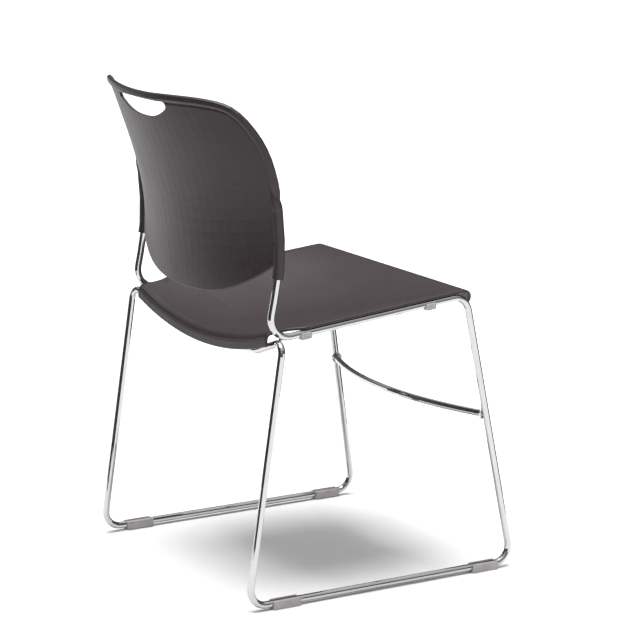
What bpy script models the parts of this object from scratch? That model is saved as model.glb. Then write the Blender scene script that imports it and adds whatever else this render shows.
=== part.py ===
"""Sled-base stacking chair: moulded back and seat shells on a bent rod frame.

Metres, +Z up, the chair faces -Y.  Every size below drives the parts built
from it.  "Forward" distances are measured from the rear corner of the sled.
"""
import math

import bmesh
import bpy
import numpy as np
from mathutils import Matrix, Vector

# ---------------------------------------------------------------- frame sizes
ROD_D = 0.0111            # solid round rod of the whole frame
RAIL_HALF = 0.2095        # centre line to seat rail and upright
LEG_SPLAY = 0.0255        # how much wider the sled is than the rails, each side
RAIL_REAR_Z = 0.4072      # rail line where it meets the upright line
RAIL_DEPTH = 0.3576       # rail line, upright corner to front-leg corner
RAIL_SLOPE = 0.0975       # rise of the rail toward the front
FRONT_LEAN = 0.1886       # forward travel of the front leg per metre down
REAR_LEAN = 0.139         # rearward travel of the rear leg per metre down
UPRIGHT_BEND = 0.030      # centre-line bend radii
FRONT_BEND = 0.027
SLED_BEND = 0.026
HOOK_BEND = 0.016
CROSSBAR_CLEAR = 0.0021    # seat pan to the middle of the rear crossbar
CROSSBAR_SAG = 0.0035     # middle of the crossbar below its bends
CROSSBAR_INSET = 0.0595   # rail to the crossbar bend, inward
STRETCHER_Z = 0.2500      # height of the front stretcher
STRETCHER_BOW = 0.046     # how far it bows to the rear
GAP = 0.0003              # clearance between touching pieces

# ---------------------------------------------------------------- glide sizes
GLIDE_LEN = 0.048
GLIDE_WALL = 0.0030       # sole under the rod, walls beside it
GLIDE_TALL = 0.0140
GLIDE_INSET_REAR = 0.040  # from the rear sled corner to the glide's end
GLIDE_INSET_FRONT = 0.030

# ---------------------------------------------------------------- shell sizes
SHELL_T = 0.0045
BACK_HEIGHT = 0.3115
BACK_LIFT = 0.0503        # back's lower edge above the rail's rear corner
RIM_W = 0.0078            # rolled rim of the back
RIM_RISE = 0.0030
GROOVE_W = 0.0036         # groove inside the rim
GROOVE_DEEP = 0.0008
SLOT_HALF = 0.0715        # hand hold
SLOT_TALL = 0.029
SLOT_DROP = 0.0150        # top of the back to the slot
SLEEVE_WALL = 0.0026
SEAT_SIDE = 0.0035        # seat edge outboard of the rail's centre line
SEAT_DISH = 0.040         # depth of the pan below the side flanges
SEAT_DISH_REAR = 0.029
SEAT_SKIRT = 0.021        # height of the rear wall
SEAT_NOSE = 0.026         # how far the front lip drops
SEAT_NOSE_REACH = 0.0160  # lip forward of the front-leg corner

# ---------------------------------------------------------------- small parts
BUMPER_LEN = 0.018
BUMPER_WALL = 0.0024
TAB_LEN = 0.024
TAB_WIDE = 0.0175
TAB_T = 0.0024
SCREW_R = 0.0020
SCREW_HEAD_R = 0.0042
BOSS_R = 0.0050

# ---------------------------------------------------------------- derived
ROD_R = ROD_D / 2
BASE_HALF = RAIL_HALF + LEG_SPLAY
RUNNER_Z = GLIDE_WALL + ROD_R
HOOK_Z = RAIL_REAR_Z + 0.0100 - ROD_R
HOOK_FWD = REAR_LEAN * (HOOK_Z - RUNNER_Z)
BAR_FWD = HOOK_FWD + 0.0050
RAIL_FWD = BAR_FWD - 0.0185 - (ROD_R - 0.00555)
DISH_AT_BAR = SEAT_DISH_REAR + (SEAT_DISH - SEAT_DISH_REAR) * (BAR_FWD - RAIL_FWD) / 0.10
BAR_Z = RAIL_REAR_Z + RAIL_SLOPE * (BAR_FWD - RAIL_FWD) + GAP - DISH_AT_BAR - CROSSBAR_CLEAR
RAIL_FRONT_FWD = RAIL_FWD + RAIL_DEPTH
RAIL_FRONT_Z = RAIL_REAR_Z + RAIL_SLOPE * RAIL_DEPTH
SLED_LEN = RAIL_FRONT_FWD + FRONT_LEAN * (RAIL_FRONT_Z - RUNNER_Z)
BACK_BOTTOM = RAIL_REAR_Z + BACK_LIFT
BACK_TOP = BACK_BOTTOM + BACK_HEIGHT

COLOURS = {
    "plastic": ((0.075, 0.068, 0.068, 1), 0.45, 0.0),
    "chrome": ((0.82, 0.83, 0.84, 1), 0.08, 1.0),
    "glide": ((0.62, 0.62, 0.60, 1), 0.40, 0.0),
    "steel": ((0.55, 0.56, 0.57, 1), 0.30, 1.0),
}


def at(x, forward, z):
    """Point from a sideways, a forward and a height distance."""
    return Vector((x, -forward, z))


def clear_scene():
    for ob in list(bpy.data.objects):
        bpy.data.objects.remove(ob, do_unlink=True)


def new_object(name, bm, kind, smooth=True):
    bmesh.ops.recalc_face_normals(bm, faces=bm.faces)
    mesh = bpy.data.meshes.new(name)
    bm.to_mesh(mesh)
    bm.free()
    for face in mesh.polygons:
        face.use_smooth = smooth
    ob = bpy.data.objects.new(name, mesh)
    bpy.context.scene.collection.objects.link(ob)
    colour, rough, metal = COLOURS[kind]
    mat = bpy.data.materials.new(name + "_look")
    mat.use_nodes = True
    node = mat.node_tree.nodes["Principled BSDF"]
    node.inputs["Base Color"].default_value = colour
    node.inputs["Roughness"].default_value = rough
    node.inputs["Metallic"].default_value = metal
    mesh.materials.append(mat)
    return ob


def boolean(ob, other, how):
    """Apply one exact Boolean and drop the second object."""
    mod = ob.modifiers.new("cut", "BOOLEAN")
    mod.operation = how
    mod.solver = "EXACT"
    mod.object = other
    graph = bpy.context.evaluated_depsgraph_get()
    result = bpy.data.meshes.new_from_object(ob.evaluated_get(graph))
    ob.modifiers.remove(mod)
    old = ob.data
    mats = [m for m in old.materials]
    ob.data = result
    ob.data.materials.clear()
    for mat in mats[:1]:
        ob.data.materials.append(mat)
    for face in ob.data.polygons:
        face.material_index = 0
    bpy.data.meshes.remove(old)
    bpy.data.objects.remove(other, do_unlink=True)
    return ob


# ---------------------------------------------------------------- rod building
def rounded_path(corners, steps=8):
    """Points along straight runs joined by arcs; corners are (point, radius)."""
    pts = [corners[0][0]]
    for (prev, _), (here, radius), (nxt, _) in zip(corners, corners[1:], corners[2:]):
        a = (prev - here).normalized()
        b = (nxt - here).normalized()
        half = 0.5 * a.angle(b)
        reach = radius / math.tan(half)
        centre = here + (a + b).normalized() * (radius / math.sin(half))
        p0, p1 = here + a * reach, here + b * reach
        v0, v1 = p0 - centre, p1 - centre
        turn = v0.angle(v1)
        for i in range(steps + 1):
            t = i / steps
            w = (math.sin((1 - t) * turn) * v0 + math.sin(t * turn) * v1) / math.sin(turn)
            pts.append(centre + w)
    pts.append(corners[-1][0])
    return pts


def sweep(bm, pts, radii, sides=20):
    """Closed round bar along pts; radii is one number or one per point."""
    if not isinstance(radii, (list, tuple)):
        radii = [radii] * len(pts)
    dirs = []
    for i in range(len(pts)):
        a = pts[max(i - 1, 0)]
        b = pts[min(i + 1, len(pts) - 1)]
        dirs.append((b - a).normalized())
    ref = Vector((0, 0, 1)) if abs(dirs[0].z) < 0.9 else Vector((1, 0, 0))
    across = dirs[0].cross(ref).normalized()
    rings = []
    for i, (p, d) in enumerate(zip(pts, dirs)):
        across = (across - d * across.dot(d)).normalized()
        other = d.cross(across)
        ring = []
        for k in range(sides):
            t = 2 * math.pi * k / sides
            ring.append(bm.verts.new(p + radii[i] * (math.cos(t) * across + math.sin(t) * other)))
        rings.append(ring)
    for low, high in zip(rings, rings[1:]):
        for k in range(sides):
            n = (k + 1) % sides
            bm.faces.new((low[k], low[n], high[n], high[k]))
    bm.faces.new(list(reversed(rings[0])))
    bm.faces.new(rings[-1])


def bar(name, pts, radii, kind, sides=20):
    bm = bmesh.new()
    sweep(bm, pts, radii, sides)
    return new_object(name, bm, kind)


def box(name, centre, size, turn, kind):
    bm = bmesh.new()
    bmesh.ops.create_cube(bm, size=1.0)
    shape = Matrix.Translation(centre) @ turn @ Matrix.Diagonal((*size, 1))
    bmesh.ops.transform(bm, matrix=shape, verts=bm.verts)
    return new_object(name, bm, kind, smooth=False)


# ---------------------------------------------------------------- frame
def rail_z(forward):
    return RAIL_REAR_Z + RAIL_SLOPE * (forward - RAIL_FWD)


# height fraction of the back, forward offset from the rail corner
UPRIGHT = [(0.036, 0.0122), (0.127, 0.0184), (0.213, 0.0203), (0.339, 0.0200), (0.467, 0.0160)]
SLEEVE_LOW, ROD_TOP, ROD_LOW = 0.137, 0.467, 0.036


def back_z(fraction):
    return BACK_BOTTOM + BACK_HEIGHT * fraction


def upright_points(side, f_low, f_high, count=7):
    """Centre line of the upright between two height fractions of the back."""
    fs = np.linspace(f_low, f_high, count)
    fw = np.interp(fs, [f for f, _ in UPRIGHT], [u for _, u in UPRIGHT])
    lift = fs > UPRIGHT[-1][0]
    fw = np.where(lift, UPRIGHT[-1][1] - 0.040 * (fs - UPRIGHT[-1][0]), fw)
    return [at(side * RAIL_HALF, RAIL_FWD + u, back_z(f)) for f, u in zip(fs, fw)]


def upright_corners(side):
    """The upright from its top down to the rail's rear corner."""
    corners = [(p, 0.15 * BACK_HEIGHT) for p in reversed(upright_points(side, ROD_LOW, ROD_TOP, 4))]
    return corners + [(at(side * RAIL_HALF, RAIL_FWD, RAIL_REAR_Z), UPRIGHT_BEND)]


def upright_run(side, z_low):
    """Centre line of the upright above a height, lowest point first."""
    pts = rounded_path(upright_corners(side))
    kept = [p for p in pts if p.z > z_low]
    nxt = pts[len(kept)]
    t = (kept[-1].z - z_low) / (kept[-1].z - nxt.z)
    return [kept[-1].lerp(nxt, t)] + list(reversed(kept))


def side_rod_points(side):
    """One bent rod: upright, seat rail, front leg, runner, rear leg, half crossbar."""
    base = side * BASE_HALF
    corners = upright_corners(side) + [
        (at(side * RAIL_HALF, RAIL_FRONT_FWD, RAIL_FRONT_Z), FRONT_BEND),
        (at(base, SLED_LEN, RUNNER_Z), SLED_BEND),
        (at(base, 0.0, RUNNER_Z), SLED_BEND),
        (at(base, HOOK_FWD, HOOK_Z), HOOK_BEND),
        (at(side * (RAIL_HALF - CROSSBAR_INSET), BAR_FWD, BAR_Z + CROSSBAR_SAG), 0.060),
        (at(side * GAP, BAR_FWD, BAR_Z), 0.0),
    ]
    return rounded_path(corners)


def side_rod(name, side):
    return bar(name, side_rod_points(side), ROD_R, "chrome", 20)


def front_leg_point(side, z):
    """Centre line of the front leg at a height."""
    t = (z - RUNNER_Z) / (RAIL_FRONT_Z - RUNNER_Z)
    return at(side * (BASE_HALF + (RAIL_HALF - BASE_HALF) * t),
              SLED_LEN + (RAIL_FRONT_FWD - SLED_LEN) * t, z)


def stretcher_points():
    end = front_leg_point(1, STRETCHER_Z)
    pts = []
    for t in np.linspace(-1.0, 1.0, 29):
        bow = STRETCHER_BOW * (1 - t * t)
        pts.append(Vector((t * end.x, end.y + bow, STRETCHER_Z)))
    return pts


def leg_cutter(side, extra):
    pts = [front_leg_point(side, z) for z in (STRETCHER_Z - 0.03, STRETCHER_Z, STRETCHER_Z + 0.03)]
    return bar("leg_cutter", pts, ROD_R + extra, "chrome", 40)


def front_stretcher():
    ob = bar("front_stretcher", stretcher_points(), ROD_R * 0.97, "chrome", 18)
    for side in (-1, 1):
        pts = [front_leg_point(side, z) for z in (STRETCHER_Z - 0.03, STRETCHER_Z + 0.03)]
        keep = bar("end_cutter", pts, ROD_R + GAP, "chrome", 40)
        boolean(ob, keep, "DIFFERENCE")
        outside = box("outside_cutter", pts[0].lerp(pts[1], 0.5) + Vector((side * 0.015, 0, 0)),
                      (0.030, 0.06, 0.06), Matrix.Identity(4), "chrome")
        boolean(ob, outside, "DIFFERENCE")
    return ob


def ring(name, centre, axis, radius, minor, kind, around=24, sides=8):
    """Bead of weld or collar: a torus about an axis."""
    turn = axis.to_track_quat("Z", "Y").to_matrix().to_4x4()
    bm = bmesh.new()
    loops = []
    for i in range(around):
        a = 2 * math.pi * i / around
        loop = []
        for k in range(sides):
            b = 2 * math.pi * k / sides
            r = radius + minor * math.cos(b)
            loop.append(bm.verts.new((r * math.cos(a), r * math.sin(a), minor * math.sin(b))))
        loops.append(loop)
    for i in range(around):
        one, two = loops[i], loops[(i + 1) % around]
        for k in range(sides):
            n = (k + 1) % sides
            bm.faces.new((one[k], two[k], two[n], one[n]))
    bmesh.ops.transform(bm, matrix=Matrix.Translation(centre) @ turn, verts=bm.verts)
    return new_object(name, bm, kind)


def stretcher_weld(name, side):
    """Bead around the stretcher's end, trimmed to the leg."""
    pts = stretcher_points()
    end, inner = (pts[-1], pts[-2]) if side > 0 else (pts[0], pts[1])
    axis = (inner - end).normalized()
    minor = 0.0017
    centre = end + axis * (ROD_R + 0.0012)
    ob = ring(name, centre, axis, ROD_R * 0.97 + GAP + minor, minor, "chrome")
    return boolean(ob, leg_cutter(side, GAP), "DIFFERENCE")


def hook_weld(name, side):
    """Bead where the crossbar's end sits under the rail's rear bend."""
    x = side * RAIL_HALF
    bm = bmesh.new()
    bmesh.ops.create_uvsphere(bm, u_segments=16, v_segments=10, radius=1.0)
    mid = at(x, BAR_FWD + 0.0062, RAIL_REAR_Z + 0.0006)
    shape = Matrix.Translation(mid) @ Matrix.Diagonal((0.0042, 0.0036, 0.0036, 1))
    bmesh.ops.transform(bm, matrix=shape, verts=bm.verts)
    ob = new_object(name, bm, "chrome")
    pts = side_rod_points(side)
    third = len(pts) // 2
    boolean(ob, bar("rail_cutter", pts[:third], ROD_R + GAP, "chrome", 20), "DIFFERENCE")
    boolean(ob, bar("bar_cutter", pts[third:], ROD_R + GAP, "chrome", 20), "DIFFERENCE")
    return ob


# ---------------------------------------------------------------- glides, bumpers
def channel(name, start, end, inner, wall, below, above, kind):
    """Rounded block bored along a straight run of rod and slit open above it."""
    along = (end - start).normalized()
    up = Vector((0, 0, 1))
    up = (up - along * up.dot(along)).normalized()
    turn = Matrix((along.cross(up), along, up)).transposed().to_4x4()
    middle = start.lerp(end, 0.5)
    size = (2 * (inner + wall), (end - start).length, above + below)
    bm = bmesh.new()
    bmesh.ops.create_cube(bm, size=1.0)
    bmesh.ops.transform(bm, matrix=Matrix.Diagonal((*size, 1)), verts=bm.verts)
    bmesh.ops.bevel(bm, geom=bm.edges[:], offset=0.0017, segments=3, profile=0.5, affect="EDGES")
    place = Matrix.Translation(middle + up * 0.5 * (above - below)) @ turn
    bmesh.ops.transform(bm, matrix=place, verts=bm.verts)
    ob = new_object(name, bm, kind)
    reach = along * 0.01
    boolean(ob, bar("bore", [start - reach, middle, end + reach], inner, kind, 28), "DIFFERENCE")
    slit = box("slit", middle + up * 0.01, (1.93 * inner, size[1] + 0.02, 0.02), turn, kind)
    return boolean(ob, slit, "DIFFERENCE")


def glide(name, side, forward):
    start = at(side * BASE_HALF, forward, RUNNER_Z)
    end = at(side * BASE_HALF, forward + GLIDE_LEN, RUNNER_Z)
    return channel(name, start, end, ROD_R + GAP, GLIDE_WALL - GAP, RUNNER_Z,
                   GLIDE_TALL - RUNNER_Z, "glide")


def bumper(name, side, forward):
    start = at(side * RAIL_HALF, forward, rail_z(forward))
    end = at(side * RAIL_HALF, forward + BUMPER_LEN, rail_z(forward + BUMPER_LEN))
    return channel(name, start, end, ROD_R + GAP, BUMPER_WALL, ROD_R + GAP + BUMPER_WALL,
                   0.0018, "glide")


# ---------------------------------------------------------------- shells
def shell(name, grid, front, rear, kind):
    """Closed shell from a grid of points; front and rear are thickness grids."""
    grid = np.array(grid)
    du = np.gradient(grid, axis=1)
    dv = np.gradient(grid, axis=0)
    normal = np.cross(du, dv)
    normal /= np.linalg.norm(normal, axis=2, keepdims=True)
    top = grid + normal * front[..., None]
    low = grid - normal * rear[..., None]
    rows, cols = grid.shape[:2]
    bm = bmesh.new()
    tv = [[bm.verts.new(top[r, c]) for c in range(cols)] for r in range(rows)]
    lv = [[bm.verts.new(low[r, c]) for c in range(cols)] for r in range(rows)]
    for r in range(rows - 1):
        for c in range(cols - 1):
            bm.faces.new((tv[r][c], tv[r][c + 1], tv[r + 1][c + 1], tv[r + 1][c]))
            bm.faces.new((lv[r][c], lv[r + 1][c], lv[r + 1][c + 1], lv[r][c + 1]))
    loop = [(0, c) for c in range(cols)] + [(r, cols - 1) for r in range(1, rows)]
    loop += [(rows - 1, c) for c in range(cols - 2, -1, -1)] + [(r, 0) for r in range(rows - 2, 0, -1)]
    arcs = []
    for i, (r, c) in enumerate(loop):
        back = grid[loop[i - 1]]
        nxt = grid[loop[(i + 1) % len(loop)]]
        out = np.cross(nxt - back, normal[r, c])
        out /= np.linalg.norm(out)
        inside = grid[min(max(r, 1), rows - 2), min(max(c, 1), cols - 2)]
        if np.dot(out, grid[r, c] - inside) < 0:
            out = -out
        a, b = top[r, c], low[r, c]
        mid, half = 0.5 * (a + b), 0.5 * (front[r, c] + rear[r, c])
        arc = [tv[r][c]]
        for k in (1, 2, 3):
            t = math.pi * k / 4
            arc.append(bm.verts.new(mid + 0.5 * (a - b) * math.cos(t) + out * half * 0.75 * math.sin(t)))
        arc.append(lv[r][c])
        arcs.append(arc)
    for i in range(len(arcs)):
        one, two = arcs[i], arcs[(i + 1) % len(arcs)]
        for k in range(4):
            bm.faces.new((one[k], one[k + 1], two[k + 1], two[k]))
    return new_object(name, bm, kind)


# right half of the back's outer edge: sideways from the rail, height fraction; the
# points more than 0.1 inboard spread with the width
BACK_OUTLINE = [
    (-0.2095, 0.0000), (-0.1595, 0.0064), (-0.1295, 0.0177), (-0.1025, 0.0369), (-0.0795, 0.0626),
    (-0.0595, 0.0915), (-0.0445, 0.1156), (-0.0295, 0.1461), (-0.0165, 0.1750), (-0.0060, 0.2071),
    (0.0005, 0.2424), (0.0025, 0.3387), (0.0045, 0.4671), (0.0085, 0.5217), (0.0115, 0.5698),
    (0.0126, 0.6470), (0.0117, 0.7303), (0.0078, 0.8010), (0.0004, 0.8670), (-0.0080, 0.9180),
    (-0.0175, 0.9540), (-0.0290, 0.9760), (-0.0465, 0.9890), (-0.0795, 0.9955), (-0.1295, 0.9925),
    (-0.1695, 0.9872), (-0.2095, 0.9856),
]
# height fraction, forward offset at the rail's width and at the middle
BACK_SIDE = [(0.0, 0.0175), (0.082, 0.0192), (0.162, 0.0206), (0.242, 0.0212), (0.339, 0.0208),
             (0.467, 0.0165), (0.557, 0.0078), (0.647, -0.0016), (0.730, -0.0105),
             (0.839, -0.0200), (0.958, -0.0363), (1.0, -0.0421)]
BACK_MIDDLE = [(0.0, -0.0250), (0.146, -0.0290), (0.307, -0.0360), (0.467, -0.0470),
               (0.628, -0.0620), (0.788, -0.0820), (0.856, -0.0920), (0.942, -0.1030),
               (1.0, -0.1085)]
LOWER_CORNER, UPPER_CORNER = 6.3, 20.4    # where the outline turns, counted in outline points


def smooth_curve(knots, degree):
    """Coefficients of one smooth curve through a row of (place, value) knots."""
    return np.polyfit([k[0] for k in knots], [k[1] for k in knots], degree)


SIDE_CURVE, MIDDLE_CURVE = smooth_curve(BACK_SIDE, 5), smooth_curve(BACK_MIDDLE, 4)


def back_forward(x, z):
    """Forward place of the back's middle surface."""
    f = (z - BACK_BOTTOM) / BACK_HEIGHT
    mid, side = np.polyval(MIDDLE_CURVE, f), np.polyval(SIDE_CURVE, f)
    return RAIL_FWD + mid + (side - mid) * (abs(x) / RAIL_HALF) ** 2.1


def outline_curve():
    """Dense smooth half outline as (sideways, height), with its knot numbers."""
    middle = -BACK_OUTLINE[0][0]
    knots = np.array([(RAIL_HALF * (1 + x / middle) if x < -0.1 else RAIL_HALF + x, back_z(f))
                      for x, f in BACK_OUTLINE])
    places = np.linspace(0, len(knots) - 1, 40 * (len(knots) - 1) + 1)
    out = []
    for p in places:
        i = min(int(p), len(knots) - 2)
        t = p - i
        p1, p2 = knots[i], knots[i + 1]
        p0 = knots[i - 1] if i > 0 else np.array((-knots[1][0], knots[1][1]))
        p3 = knots[i + 2] if i < len(knots) - 2 else np.array((-knots[-2][0], knots[-2][1]))
        out.append(0.5 * (2 * p1 + (p2 - p0) * t + (2 * p0 - 5 * p1 + 4 * p2 - p3) * t * t
                          + (3 * p1 - p0 - 3 * p2 + p3) * t ** 3))
    return np.array(out), places


def spaced(curve, count):
    """Points along a curve, closer together where it bends."""
    step = np.diff(curve, axis=0)
    length = np.linalg.norm(step, axis=1)
    turn = np.unwrap(np.arctan2(step[:, 1], step[:, 0]))
    bend = np.abs(np.gradient(turn))
    bend = np.convolve(bend, np.ones(25) / 25, mode="same")
    weight = np.concatenate([[0], np.cumsum(length + 0.030 * bend)])
    marks = np.linspace(0, weight[-1], count + 1)
    return np.stack([np.interp(marks, weight, curve[:, k]) for k in (0, 1)], axis=1)


def back_loop(half_cols, rows):
    """Closed outline, anticlockwise from the lower left, split for a grid."""
    curve, places = outline_curve()
    low = spaced(curve[places <= LOWER_CORNER], half_cols)
    side = spaced(curve[(places >= LOWER_CORNER) & (places <= UPPER_CORNER)], rows)
    top = spaced(curve[places >= UPPER_CORNER], half_cols)
    mirror = np.array((-1.0, 1.0))
    bottom = np.concatenate([(low * mirror)[::-1], low[1:]])
    upper = np.concatenate([top, (top * mirror)[::-1][1:]])
    return np.concatenate([bottom, side[1:], upper[1:], (side * mirror)[::-1][1:-1]])


def coons(loop, cols, rows):
    """Grid of points filling a closed loop of 2 * (cols + rows) points."""
    bottom, right = loop[:cols + 1], loop[cols:cols + rows + 1]
    top = loop[cols + rows:2 * cols + rows + 1][::-1]
    left = np.concatenate([loop[2 * cols + rows:], loop[:1]])[::-1]
    grid = np.zeros((rows + 1, cols + 1, 2))
    for i in range(rows + 1):
        for j in range(cols + 1):
            u, v = j / cols, i / rows
            flat = ((1 - u) * (1 - v) * bottom[0] + u * (1 - v) * bottom[-1]
                    + (1 - u) * v * top[0] + u * v * top[-1])
            grid[i, j] = (1 - v) * bottom[j] + v * top[j] + (1 - u) * left[i] + u * right[i] - flat
    return grid


def rim_profile(inset, f):
    """Rear and front rise of the surface at a distance inside the outline."""
    fade = min(max((f - 0.50) / 0.10, 0.0), 1.0)
    fade = fade * fade * (3 - 2 * fade)
    knots = [(0.0, RIM_RISE * 0.62), (0.5 * RIM_W, RIM_RISE), (RIM_W, RIM_RISE * 0.70),
             (RIM_W + 0.3 * GROOVE_W, -GROOVE_DEEP), (RIM_W + 0.75 * GROOVE_W, -GROOVE_DEEP),
             (RIM_W + GROOVE_W + 0.0015, 0.0)]
    rear = np.interp(inset, [k[0] for k in knots], [k[1] for k in knots])
    front = 0.0010 * max(0.0, 1 - inset / RIM_W)
    return rear * fade, front * fade


RIM_INSETS = (0.0, 0.5 * RIM_W, RIM_W, RIM_W + 0.3 * GROOVE_W, RIM_W + 0.75 * GROOVE_W,
              RIM_W + GROOVE_W + 0.0015)


def back_panel(half_cols, rows, insets):
    """The bare shell: rings that follow the outline, then a grid inside them."""
    loop = back_loop(half_cols, rows)
    nxt, prev = np.roll(loop, -1, axis=0), np.roll(loop, 1, axis=0)
    run = nxt - prev
    outward = np.stack([run[:, 1], -run[:, 0]], axis=1)
    outward /= np.linalg.norm(outward, axis=1, keepdims=True)
    bm = bmesh.new()

    def pair(xz, inset):
        x, z = xz
        h = 1e-4
        gx = (back_forward(x + h, z) - back_forward(x - h, z)) / (2 * h)
        gz = (back_forward(x, z + h) - back_forward(x, z - h)) / (2 * h)
        ahead = Vector((-gx, -1, -gz)).normalized()
        rear, front = rim_profile(inset, (z - BACK_BOTTOM) / BACK_HEIGHT)
        p = at(x, back_forward(x, z), z)
        return (p + ahead * (SHELL_T / 2 + front), p - ahead * (SHELL_T / 2 + rear),
                Vector((1, -gx, 0)), Vector((0, -gz, 1)))

    cols, count = 2 * half_cols, len(loop)
    rings = []
    round_off = np.array([0.4 * (SHELL_T + sum(rim_profile(0.0, (p[1] - BACK_BOTTOM) / BACK_HEIGHT)))
                          for p in loop])
    loop = loop - outward * round_off[:, None]
    for inset in insets:
        ring = [pair(p, inset) for p in loop - outward * inset]
        rings.append(([bm.verts.new(q[0]) for q in ring], [bm.verts.new(q[1]) for q in ring], ring))
    for (fa, ra, _), (fb, rb, _) in zip(rings, rings[1:]):
        for k in range(count):
            n = (k + 1) % count
            bm.faces.new((fa[k], fa[n], fb[n], fb[k]))
            bm.faces.new((ra[k], rb[k], rb[n], ra[n]))
    inner = coons(loop - outward * insets[-1], cols, rows)
    for face, pick in ((0, rings[-1][0]), (1, rings[-1][1])):
        edge = {}
        for j in range(cols + 1):
            edge[0, j] = pick[j]
            edge[rows, cols - j] = pick[cols + rows + j]
        for i in range(rows + 1):
            edge[i, cols] = pick[cols + i]
            edge[rows - i, 0] = pick[(2 * cols + rows + i) % count]
        for i in range(1, rows):
            for j in range(1, cols):
                edge[i, j] = bm.verts.new(pair(inner[i, j], 1.0)[face])
        for i in range(rows):
            for j in range(cols):
                bm.faces.new((edge[i, j], edge[i, j + 1], edge[i + 1, j + 1], edge[i + 1, j]))
    arcs = []
    for k in range(count):
        front, rear, tx, tz = rings[0][2][k]
        out = (tx * outward[k][0] + tz * outward[k][1]).normalized()
        half = 0.5 * (front - rear).length
        arc = [rings[0][0][k]]
        for m in (1, 2, 3):
            t = math.pi * m / 4
            arc.append(bm.verts.new(0.5 * (front + rear) + 0.5 * (front - rear) * math.cos(t)
                                    + out * half * 0.8 * math.sin(t)))
        arcs.append(arc + [rings[0][1][k]])
    for k in range(count):
        one, two = arcs[k], arcs[(k + 1) % count]
        for m in range(4):
            bm.faces.new((one[m], one[m + 1], two[m + 1], two[m]))
    return bm


def back_shell():
    ob = new_object("back_shell", back_panel(12, 20, RIM_INSETS), "plastic")
    for side in (-1, 1):
        run = upright_run(side, back_z(SLEEVE_LOW))
        tip = (run[-1] - run[-2]).normalized()
        radius = ROD_R + GAP + SLEEVE_WALL
        rises = (0.020, 0.042, 0.064, 0.086, 0.108)
        pts = run + [at(side * (RAIL_HALF + 0.0008), back_forward(RAIL_HALF, back_z(ROD_TOP + k)) + 0.0010,
                        back_z(ROD_TOP + k)) for k in rises]
        radii = [radius] * len(run) + [radius * k for k in (0.98, 0.90, 0.77, 0.60, 0.40)]
        boolean(ob, bar("sleeve", pts, radii, "plastic", 24), "UNION")
        bore = upright_run(side, back_z(ROD_LOW + 0.012)) + [run[-1] + tip * 0.0006]
        boolean(ob, bar("bore", bore, ROD_R + GAP, "plastic", 20), "DIFFERENCE")
    boolean(ob, slot_cutter(), "DIFFERENCE")
    return ob


def slot_cutter():
    """Hand-hold prism: level top, bowed bottom, rounded tips."""
    top = BACK_TOP - SLOT_DROP
    tip = 0.0055
    outline = [(t * (SLOT_HALF - tip), top - 0.0010 * t * t) for t in np.linspace(-1, 1, 15)]
    for ang in (60, 30, 0, -30):
        outline.append((SLOT_HALF - tip + tip * math.cos(math.radians(ang)),
                        top - 0.0010 - tip + tip * math.sin(math.radians(ang))))
    low = SLOT_TALL - 1.75 * tip
    for t in np.linspace(0.95, -0.95, 25):
        outline.append((t * SLOT_HALF, top - SLOT_TALL + low * abs(t) ** 2.5))
    for ang in (210, 180, 150, 120):
        outline.append((-SLOT_HALF + tip + tip * math.cos(math.radians(ang)),
                        top - 0.0010 - tip + tip * math.sin(math.radians(ang))))
    bm = bmesh.new()
    near = [bm.verts.new(at(x, RAIL_FWD - 0.17, z)) for x, z in outline]
    far = [bm.verts.new(at(x, RAIL_FWD + 0.02, z)) for x, z in outline]
    n = len(outline)
    for k in range(n):
        m = (k + 1) % n
        bm.faces.new((near[k], near[m], far[m], far[k]))
    bm.faces.new(near)
    bm.faces.new(list(reversed(far)))
    return new_object("slot_cutter", bm, "plastic")


def graded(count, edge_steps, total):
    """Values from 0 to 1 with fine steps of given lengths near both ends."""
    lead = [s / total for s in edge_steps]
    middle = np.linspace(lead[-1], 1 - lead[-1], count)
    return [0.0] + lead[:-1] + list(middle) + [1 - s for s in reversed(lead[:-1])] + [1.0]


def seat_top(x, forward):
    """Upper surface of the pan before the rear wall and the nose are added."""
    half = RAIL_HALF - 0.0125
    flange = rail_z(forward) + ROD_R + GAP + SHELL_T
    depth = np.interp(forward - RAIL_FWD,
                      [0.0, 0.10, 0.20, 0.27, 0.315, 0.345],
                      [SEAT_DISH_REAR, SEAT_DISH, SEAT_DISH, 0.72 * SEAT_DISH, 0.28 * SEAT_DISH, 0.0])
    t = min(abs(x) / half, 1.0)
    return flange - depth * (1 - t * t)


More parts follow.
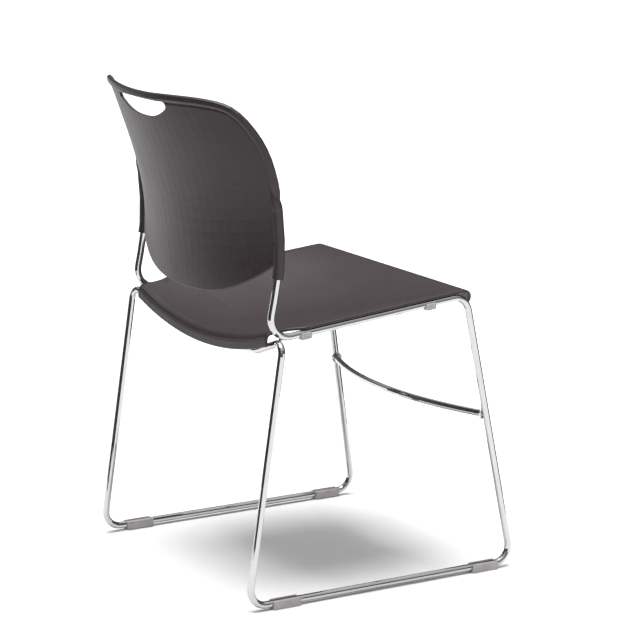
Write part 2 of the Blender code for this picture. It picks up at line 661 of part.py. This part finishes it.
def seat_point(a, b):
    """Middle surface of the seat; b runs rear wall, pan, nose."""
    wall, nose = 0.10, 0.90
    rear_half = RAIL_HALF - ROD_R - 0.0040
    full_half = RAIL_HALF + SEAT_SIDE
    start = RAIL_FWD + 0.0036
    end = RAIL_FRONT_FWD + SEAT_NOSE_REACH - 0.024
    r_wall, r_nose = 0.009, 0.022
    if b < wall:
        t = b / wall
        fwd = start + 0.0014 * a * a
        x = a * rear_half
        top = seat_top(x, fwd + r_wall)
        drop = SEAT_SKIRT - SHELL_T / 2
        if t < 0.55:
            return at(x, fwd, top - drop + (drop - r_wall) * t / 0.55)
        ang = math.pi / 2 * (t - 0.55) / 0.45
        return at(x, fwd + r_wall * (1 - math.cos(ang)), top - r_wall + r_wall * math.sin(ang))
    if b <= nose:
        t = (b - wall) / (nose - wall)
        first = start + 0.0014 * a * a + r_wall
        fwd = first + (end - first) * t
        widen = min(max((fwd - RAIL_FWD - 0.044) / 0.012, 0.0), 1.0)
        widen = widen * widen * (3 - 2 * widen)
        half = rear_half + (full_half - rear_half) * widen
        x = a * half
        return at(x, fwd, seat_top(x, fwd))
    t = (b - nose) / (1 - nose)
    ang = 0.93 * math.pi / 2 * t
    pull = 1 - math.sqrt(max(0.0, 1 - (0.86 * t) ** 2))
    x = a * (full_half - 0.018 * pull * abs(a) ** 3)
    rise = RAIL_SLOPE * r_nose
    curl = r_nose * math.sin(ang)
    fall = (SEAT_NOSE - 0.004) * (1 - math.cos(ang))
    reach = curl * (1 - 0.25 * abs(a) ** 6 * t)
    return at(x, end + reach, seat_top(x, end) + rise * math.sin(ang) * 0.5 - fall)


def tab_positions():
    return [RAIL_FWD + 0.105, RAIL_FRONT_FWD - 0.105]


def seat_shell():
    across = [2 * v - 1 for v in graded(21, (0.004, 0.008, 0.014), 2 * RAIL_HALF)]
    along = list(np.linspace(0, 0.055, 3)) + list(np.linspace(0.0664, 0.10, 4))
    along += [0.113, 0.128, 0.140, 0.155] + list(np.linspace(0.18, 0.87, 17)) + [0.885]
    along += list(np.linspace(0.90, 1.0, 8))
    grid = [[seat_point(a, b) for a in across] for b in along]
    half = np.full((len(along), len(across)), SHELL_T / 2)
    lowered = np.array(grid)
    lowered[..., 2] -= SHELL_T / 2
    ob = shell("seat_shell", lowered, half, half, "plastic")
    for side in (-1, 1):
        for forward in tab_positions():
            x = side * (RAIL_HALF - ROD_R - 0.0098)
            top = seat_top(x, forward) - 0.6 * SHELL_T
            low = rail_z(forward) - 0.0012 + GAP
            pts = [at(x, forward, low), at(x, forward, 0.5 * (low + top)), at(x, forward, top)]
            boolean(ob, bar("boss", pts, BOSS_R, "plastic", 20), "UNION")
            pts = [at(x, forward, low - 0.002), at(x, forward, low + 0.0048)]
            boolean(ob, bar("pilot", pts, SCREW_R + GAP, "plastic", 16), "DIFFERENCE")
    return ob


def seat_tab(name, side, forward):
    """Steel tab on the inner side of the rail, under a boss of the seat."""
    x_in = RAIL_HALF - ROD_R - GAP - TAB_WIDE
    x_out = RAIL_HALF - ROD_R - GAP
    z = rail_z(forward) - 0.0012 - TAB_T / 2
    centre = at(side * 0.5 * (x_in + x_out), forward, z)
    ob = box(name, centre, (x_out - x_in, TAB_LEN, TAB_T), Matrix.Identity(4), "steel")
    x = side * (RAIL_HALF - ROD_R - 0.0098)
    pts = [at(x, forward, z - 0.004), at(x, forward, z + 0.004)]
    return boolean(ob, bar("hole", pts, SCREW_R + 2 * GAP, "steel", 20), "DIFFERENCE")


def seat_screw(name, side, forward):
    """Domed screw from under the tab into the boss."""
    x = side * (RAIL_HALF - ROD_R - 0.0098)
    under = rail_z(forward) - 0.0012 - TAB_T - GAP
    rings = [(under - 0.0022, 0.45), (under - 0.0016, 0.85), (under - 0.0006, 1.0), (under, 1.0)]
    pts = [at(x, forward, z) for z, _ in rings]
    radii = [SCREW_HEAD_R * k for _, k in rings]
    pts += [at(x, forward, under), at(x, forward, under + TAB_T + 0.0044)]
    radii += [SCREW_R, SCREW_R]
    bm = bmesh.new()
    loops = []
    for p, r in zip(pts, radii):
        loops.append([bm.verts.new(p + Vector((r * math.cos(t), r * math.sin(t), 0)))
                      for t in np.linspace(0, 2 * math.pi, 20, endpoint=False)])
    for one, two in zip(loops, loops[1:]):
        for k in range(20):
            m = (k + 1) % 20
            bm.faces.new((one[k], one[m], two[m], two[k]))
    bm.faces.new(list(reversed(loops[0])))
    bm.faces.new(loops[-1])
    return new_object(name, bm, "steel")


def centre_on_base():
    """Move the finished object so its box stands centred on the origin."""
    meshes = [ob.data for ob in bpy.data.objects if ob.type == "MESH"]
    pts = np.array([v.co[:] for mesh in meshes for v in mesh.vertices])
    low, high = pts.min(axis=0), pts.max(axis=0)
    shift = Vector((-0.5 * (low[0] + high[0]), -0.5 * (low[1] + high[1]), -low[2]))
    for mesh in meshes:
        mesh.transform(Matrix.Translation(shift))


def build():
    clear_scene()
    for word, side in (("left", 1), ("right", -1)):
        side_rod("side_rod_" + word, side)
        stretcher_weld("stretcher_weld_" + word, side)
        hook_weld("crossbar_weld_" + word, side)
        glide("glide_rear_" + word, side, GLIDE_INSET_REAR)
        glide("glide_front_" + word, side, SLED_LEN - GLIDE_INSET_FRONT - GLIDE_LEN)
        bumper("bumper_rear_" + word, side, RAIL_FWD + 0.056)
        bumper("bumper_front_" + word, side, RAIL_FRONT_FWD - 0.078)
        for place, forward in zip(("rear", "front"), tab_positions()):
            seat_tab("seat_tab_%s_%s" % (place, word), side, forward)
            seat_screw("seat_screw_%s_%s" % (place, word), side, forward)
    front_stretcher()
    ring("crossbar_joint", at(0, BAR_FWD, BAR_Z), Vector((1, 0, 0)),
         ROD_R + GAP + 0.0007, 0.0007, "chrome")
    back_shell()
    seat_shell()
    centre_on_base()


build()
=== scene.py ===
"""Looks for the sled-base stacking chair: materials, fine detail, floor, light and camera."""
import math

import bmesh
import bpy
from mathutils import Matrix, Vector

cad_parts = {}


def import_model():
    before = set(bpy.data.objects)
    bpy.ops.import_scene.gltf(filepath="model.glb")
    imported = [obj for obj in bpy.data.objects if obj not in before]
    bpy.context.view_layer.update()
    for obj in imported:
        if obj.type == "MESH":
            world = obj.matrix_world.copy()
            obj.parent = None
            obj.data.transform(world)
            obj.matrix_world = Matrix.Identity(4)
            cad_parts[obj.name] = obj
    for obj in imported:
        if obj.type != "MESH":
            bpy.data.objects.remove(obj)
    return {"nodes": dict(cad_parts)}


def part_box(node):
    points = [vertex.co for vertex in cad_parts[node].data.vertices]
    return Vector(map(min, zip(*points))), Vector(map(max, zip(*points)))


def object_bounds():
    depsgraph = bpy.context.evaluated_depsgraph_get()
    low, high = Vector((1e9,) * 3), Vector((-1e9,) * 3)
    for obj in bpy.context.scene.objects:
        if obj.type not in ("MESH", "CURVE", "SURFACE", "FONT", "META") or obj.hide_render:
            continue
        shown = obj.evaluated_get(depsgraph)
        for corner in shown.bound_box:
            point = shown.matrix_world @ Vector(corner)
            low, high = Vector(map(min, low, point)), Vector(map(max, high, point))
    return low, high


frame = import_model()
cad_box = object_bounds()
NODES = frame["nodes"]
FLOOR_Z = cad_box[0][2]

# material tones, linear, and roughness
PLASTIC_DARK = (0.0215, 0.0135, 0.0156, 1)
PLASTIC_PALE = (0.0290, 0.0185, 0.0212, 1)
PLASTIC_ROUGH = (0.43, 0.50)
CHROME_TONE = 0.55
CHROME_ROUGH = 0.035
CHROME_HAZE = 0.055
WELD_TONES = ((0.62, 0.62, 0.63, 1), (0.74, 0.74, 0.75, 1))
GLIDE_TONES = ((0.46, 0.43, 0.43, 1), (0.60, 0.57, 0.57, 1))
STEEL_TONES = ((0.50, 0.51, 0.52, 1), (0.62, 0.62, 0.63, 1))

# studio, metres and degrees
FLOOR_HALF = 30.0
FLOOR_TONE = 0.86
SUN_TURN = (-5, 1, 0)
SUN_STRENGTH = 3.7
SUN_ANGLE = 38
SKY_STEPS = ((0.05, 0.16), (0.42, 0.12), (0.60, 0.62))
WHITE = (1, 1, 1, 1)

# camera: REAR_CORNER is the rear corner of the sled, which the rear glide stops short of
REAR_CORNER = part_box("glide_rear_left")[1][1] + 0.040
CAMERA_PLACE = Vector((-3.5501, REAR_CORNER + 1.94685, 1.3095))
CAMERA_RIGHT = Vector((-0.52636, -0.85016, 0.01315))
CAMERA_UP = Vector((0.19201, -0.10379, 0.97589))
LENS_MM = 151.6314375
SENSOR_MM = 36.0


# ---------------------------------------------------------------- node helpers
def new_material(name):
    mat = bpy.data.materials.new(name)
    mat.use_nodes = True
    tree = mat.node_tree
    return mat, tree, tree.nodes["Principled BSDF"]


def noise(tree, coord, scale, detail=4.0, rough=0.55):
    """Noise value, with scale in features per metre."""
    node = tree.nodes.new("ShaderNodeTexNoise")
    node.inputs["Scale"].default_value = scale
    node.inputs["Detail"].default_value = detail
    node.inputs["Roughness"].default_value = rough
    tree.links.new(coord, node.inputs["Vector"])
    return node.outputs["Fac"]


def spread(tree, value, low, high, lo_in=0.3, hi_in=0.7):
    """Value mapped from lo_in..hi_in to low..high."""
    node = tree.nodes.new("ShaderNodeMapRange")
    node.inputs["From Min"].default_value = lo_in
    node.inputs["From Max"].default_value = hi_in
    node.inputs["To Min"].default_value = low
    node.inputs["To Max"].default_value = high
    tree.links.new(value, node.inputs["Value"])
    return node.outputs["Result"]


def mix_colour(tree, fac, one, two):
    node = tree.nodes.new("ShaderNodeMix")
    node.data_type = "RGBA"
    node.inputs["A"].default_value = one
    node.inputs["B"].default_value = two
    tree.links.new(fac, node.inputs["Factor"])
    return node.outputs["Result"]


def bump(tree, height, strength, distance, under=None):
    """Bumped normal, laid over the normal below it if there is one."""
    node = tree.nodes.new("ShaderNodeBump")
    node.inputs["Strength"].default_value = strength
    node.inputs["Distance"].default_value = distance
    tree.links.new(height, node.inputs["Height"])
    if under is not None:
        tree.links.new(under, node.inputs["Normal"])
    return node.outputs["Normal"]


def stretched(tree, coord, scale):
    node = tree.nodes.new("ShaderNodeMapping")
    node.inputs["Scale"].default_value = scale
    tree.links.new(coord, node.inputs["Vector"])
    return node.outputs["Vector"]


def shade(tree, colour, factor):
    """Colour multiplied by a number."""
    node = tree.nodes.new("ShaderNodeVectorMath")
    node.operation = "SCALE"
    tree.links.new(colour, node.inputs[0])
    tree.links.new(factor, node.inputs["Scale"])
    return node.outputs["Vector"]


def plus(tree, one, two):
    node = tree.nodes.new("ShaderNodeMath")
    tree.links.new(one, node.inputs[0])
    tree.links.new(two, node.inputs[1])
    return node.outputs["Value"]


def object_coords(tree):
    return tree.nodes.new("ShaderNodeTexCoord").outputs["Object"]


# ---------------------------------------------------------------- materials
def plastic_material():
    """Charcoal moulded plastic: fine spark-eroded grain, faint flow marks and uneven sheen."""
    mat, tree, bsdf = new_material("charcoal_plastic")
    xyz = object_coords(tree)
    flow = noise(tree, stretched(tree, xyz, (1.0, 1.0, 0.25)), 14.0, 3.0)
    grain = noise(tree, xyz, 1500.0, 2.0, 0.6)
    pores = noise(tree, xyz, 520.0, 3.0, 0.5)
    speck = mix_colour(tree, spread(tree, pores, 0.0, 1.0, 0.35, 0.65),
                       PLASTIC_DARK, PLASTIC_PALE)
    col = shade(tree, speck, spread(tree, flow, 0.93, 1.07))
    tree.links.new(col, bsdf.inputs["Base Color"])
    rough = spread(tree, flow, *PLASTIC_ROUGH)
    tree.links.new(plus(tree, rough, spread(tree, pores, -0.03, 0.05)), bsdf.inputs["Roughness"])
    bsdf.inputs["Specular IOR Level"].default_value = 0.5
    first = bump(tree, pores, 0.16, 0.0005)
    tree.links.new(bump(tree, grain, 0.22, 0.0002, first), bsdf.inputs["Normal"])
    return mat


def chrome_material():
    """Plated bar: mirror bright, with faint haze, a slow ripple and a fine grain."""
    mat, tree, bsdf = new_material("bright_chrome")
    xyz = object_coords(tree)
    haze = noise(tree, xyz, 38.0, 4.0)
    fine = noise(tree, xyz, 850.0, 2.0)
    wave = noise(tree, xyz, 26.0, 1.0)
    bright = (CHROME_TONE, CHROME_TONE, CHROME_TONE * 1.01, 1)
    dull = (CHROME_TONE * 0.93, CHROME_TONE * 0.935, CHROME_TONE * 0.95, 1)
    col = mix_colour(tree, spread(tree, haze, 0.0, 1.0), bright, dull)
    tree.links.new(col, bsdf.inputs["Base Color"])
    bsdf.inputs["Metallic"].default_value = 1.0
    rough = spread(tree, haze, CHROME_ROUGH, CHROME_ROUGH + CHROME_HAZE)
    tree.links.new(rough, bsdf.inputs["Roughness"])
    first = bump(tree, wave, 0.05, 0.002)
    tree.links.new(bump(tree, fine, 0.04, 0.0002, first), bsdf.inputs["Normal"])
    return mat


def weld_material():
    """Plated weld bead: rippled and rougher than the bar."""
    mat, tree, bsdf = new_material("weld_plating")
    xyz = object_coords(tree)
    ripple = noise(tree, xyz, 420.0, 3.0, 0.6)
    soot = noise(tree, xyz, 120.0, 4.0)
    col = mix_colour(tree, spread(tree, soot, 0.0, 1.0), *WELD_TONES)
    tree.links.new(col, bsdf.inputs["Base Color"])
    bsdf.inputs["Metallic"].default_value = 1.0
    tree.links.new(spread(tree, soot, 0.16, 0.30), bsdf.inputs["Roughness"])
    tree.links.new(bump(tree, ripple, 0.35, 0.0006), bsdf.inputs["Normal"])
    return mat


def glide_material():
    """Milky grey translucent plastic with scuffed, cloudy patches."""
    mat, tree, bsdf = new_material("milky_glide")
    xyz = object_coords(tree)
    cloud = noise(tree, xyz, 70.0, 4.0)
    scuff = noise(tree, stretched(tree, xyz, (1.0, 0.12, 1.0)), 600.0, 3.0)
    col = mix_colour(tree, spread(tree, cloud, 0.0, 1.0), *GLIDE_TONES)
    tree.links.new(col, bsdf.inputs["Base Color"])
    tree.links.new(spread(tree, scuff, 0.28, 0.46), bsdf.inputs["Roughness"])
    bsdf.inputs["Transmission Weight"].default_value = 0.30
    bsdf.inputs["IOR"].default_value = 1.45
    bsdf.inputs["Subsurface Weight"].default_value = 0.25
    bsdf.inputs["Subsurface Radius"].default_value = (0.004, 0.004, 0.004)
    tree.links.new(bump(tree, scuff, 0.14, 0.0003), bsdf.inputs["Normal"])
    return mat


def steel_material():
    """Satin steel of the tabs and screws."""
    mat, tree, bsdf = new_material("satin_steel")
    xyz = object_coords(tree)
    fine = noise(tree, xyz, 350.0, 4.0)
    col = mix_colour(tree, spread(tree, fine, 0.0, 1.0), *STEEL_TONES)
    tree.links.new(col, bsdf.inputs["Base Color"])
    bsdf.inputs["Metallic"].default_value = 1.0
    tree.links.new(spread(tree, fine, 0.24, 0.38), bsdf.inputs["Roughness"])
    tree.links.new(bump(tree, fine, 0.06, 0.0002), bsdf.inputs["Normal"])
    return mat


PLASTIC = plastic_material()
CHROME = chrome_material()
WELD = weld_material()
GLIDE = glide_material()
STEEL = steel_material()


def dress(node, mat):
    """Give the node its material through its object's slots."""
    for slot in NODES[node].material_slots:
        slot.link = "OBJECT"
        slot.material = mat


for node in NODES:
    if node in ("back_shell", "seat_shell"):
        dress(node, PLASTIC)
    elif node.startswith(("glide", "bumper")):
        dress(node, GLIDE)
    elif node.startswith(("seat_tab", "seat_screw")):
        dress(node, STEEL)
    elif "weld" in node or "joint" in node:
        dress(node, WELD)
    else:
        dress(node, CHROME)


# ---------------------------------------------------------------- floor, light, camera
def floor():
    """Pale studio floor under the sled."""
    bm = bmesh.new()
    bmesh.ops.create_grid(bm, x_segments=1, y_segments=1, size=FLOOR_HALF)
    mesh = bpy.data.meshes.new("floor")
    bm.to_mesh(mesh)
    bm.free()
    ob = bpy.data.objects.new("floor", mesh)
    ob.location.z = FLOOR_Z
    bpy.context.scene.collection.objects.link(ob)
    mat, _, bsdf = new_material("pale_floor")
    bsdf.inputs["Base Color"].default_value = (FLOOR_TONE, FLOOR_TONE, FLOOR_TONE, 1)
    bsdf.inputs["Roughness"].default_value = 0.85
    bsdf.inputs["Specular IOR Level"].default_value = 0.2
    mesh.materials.append(mat)


def sun(turn, strength, angle):
    """Broad overhead light with soft edges."""
    data = bpy.data.lights.new("overhead", "SUN")
    data.energy = strength
    data.angle = math.radians(angle)
    ob = bpy.data.objects.new("overhead", data)
    ob.rotation_euler = [math.radians(k) for k in turn]
    bpy.context.scene.collection.objects.link(ob)


def world():
    """Studio surround: bright overhead, dim band above the floor line, white at and below it."""
    surround = bpy.data.worlds.new("studio")
    bpy.context.scene.world = surround
    surround.use_nodes = True
    tree = surround.node_tree
    back = tree.nodes["Background"]
    split = tree.nodes.new("ShaderNodeSeparateXYZ")
    tree.links.new(tree.nodes.new("ShaderNodeTexCoord").outputs["Generated"], split.inputs[0])
    ramp = tree.nodes.new("ShaderNodeValToRGB")
    for end, place in enumerate((0.0, 1.0)):
        ramp.color_ramp.elements[end].position = place
        ramp.color_ramp.elements[end].color = WHITE
    for place, level in SKY_STEPS:
        step = ramp.color_ramp.elements.new(place)
        step.color = (level, level, level, 1)
    tree.links.new(split.outputs["Z"], ramp.inputs["Fac"])
    tree.links.new(ramp.outputs["Color"], back.inputs["Color"])
    back.inputs["Strength"].default_value = 1.0


def card(name, x_low, x_high, y, height, level):
    """Upright studio flag of one grey level, seen only in reflections."""
    bm = bmesh.new()
    corners = [(x_low, y, FLOOR_Z), (x_high, y, FLOOR_Z),
               (x_high, y, FLOOR_Z + height), (x_low, y, FLOOR_Z + height)]
    bm.faces.new([bm.verts.new(p) for p in corners])
    mesh = bpy.data.meshes.new(name)
    bm.to_mesh(mesh)
    bm.free()
    ob = bpy.data.objects.new(name, mesh)
    bpy.context.scene.collection.objects.link(ob)
    mat, _, bsdf = new_material(name)
    bsdf.inputs["Base Color"].default_value = (level, level, level, 1)
    bsdf.inputs["Roughness"].default_value = 1.0
    bsdf.inputs["Specular IOR Level"].default_value = 0.0
    mesh.materials.append(mat)
    ob.visible_camera = ob.visible_diffuse = ob.visible_shadow = ob.visible_transmission = False


def camera():
    """Long lens behind the chair, on its right side."""
    data = bpy.data.cameras.new("camera")
    data.lens = LENS_MM
    data.sensor_width = SENSOR_MM
    data.clip_end = 100.0
    ob = bpy.data.objects.new("camera", data)
    back = CAMERA_RIGHT.cross(CAMERA_UP)
    rot = Matrix((CAMERA_RIGHT, CAMERA_UP, back)).transposed()
    ob.matrix_world = Matrix.Translation(CAMERA_PLACE) @ rot.to_4x4()
    bpy.context.scene.collection.objects.link(ob)
    bpy.context.scene.camera = ob


bpy.context.scene.view_settings.view_transform = "Standard"
floor()
world()
sun(SUN_TURN, SUN_STRENGTH, SUN_ANGLE)
card("flag_rear", -0.85, 1.5, cad_box[1][1] + 0.80, 1.3, 0.07)
card("flag_front", -0.5, 0.8, cad_box[0][1] - 0.55, 0.9, 0.10)
camera()
